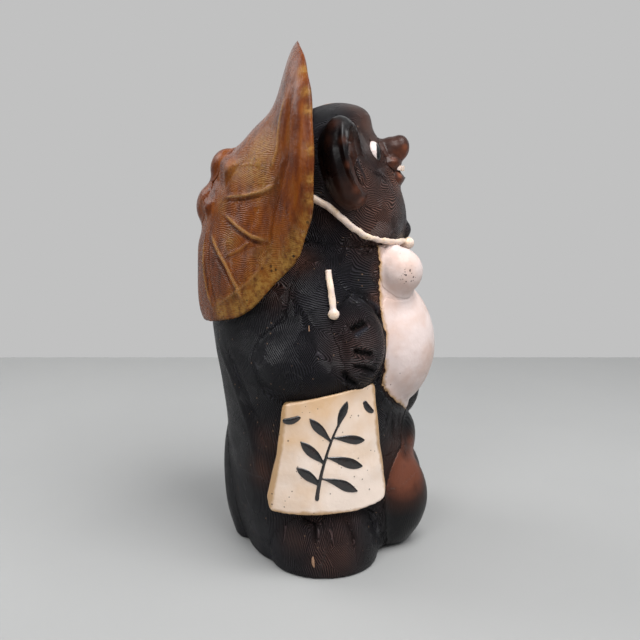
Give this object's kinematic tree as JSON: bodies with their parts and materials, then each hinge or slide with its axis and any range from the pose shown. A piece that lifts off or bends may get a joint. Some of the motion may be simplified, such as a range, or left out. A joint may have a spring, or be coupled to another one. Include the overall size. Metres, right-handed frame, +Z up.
{
  "type": "tanuki statue",
  "caption": "Standing stoneware tanuki figure with a leaf hat on its back, round glazed belly, account note, sake flask and hollow body open underneath",
  "frame": {"origin": "middle of the flat base, on the surface that the figure stands on", "axes": "+Z up the figure; it faces -Y; -X is the side of its right hand and account note"},
  "size_m": [0.2126, 0.2027, 0.4221],
  "materials": {
    "iron_glaze": "black iron glaze over combed clay, semi-gloss",
    "brown_glaze": "thin reddish-brown iron glaze, satin",
    "white_glaze": "milky feldspar glaze with fine iron specks, gloss",
    "amber_glaze": "amber-brown glaze, ochre where it is thick, gloss"
  },
  "bodies": {
    "root": {"body_shell": "iron_glaze", "head_shell": "iron_glaze", "tail": "iron_glaze", "right_thigh": "iron_glaze", "left_thigh": "iron_glaze", "right_arm": "iron_glaze", "left_arm": "iron_glaze", "right_hand": "iron_glaze", "left_hand": "iron_glaze", "chin_tuft": "iron_glaze", "right_ear": "brown_glaze", "left_ear": "brown_glaze", "snout": "brown_glaze", "upper_lip": "brown_glaze", "lower_lip": "brown_glaze", "money_bag": "brown_glaze", "belly": "white_glaze", "right_breast": "white_glaze", "left_breast": "white_glaze", "teeth": "white_glaze", "right_eye": "white_glaze", "left_eye": "white_glaze", "account_note": "white_glaze", "cord_knot": "white_glaze", "hat_cord_right": "white_glaze", "hat_cord_left": "white_glaze", "shoulder_cord_stub": "white_glaze", "hat_leaf": "amber_glaze", "hat_stalk": "amber_glaze", "sake_flask": "amber_glaze"}
  },
  "joints": []
}
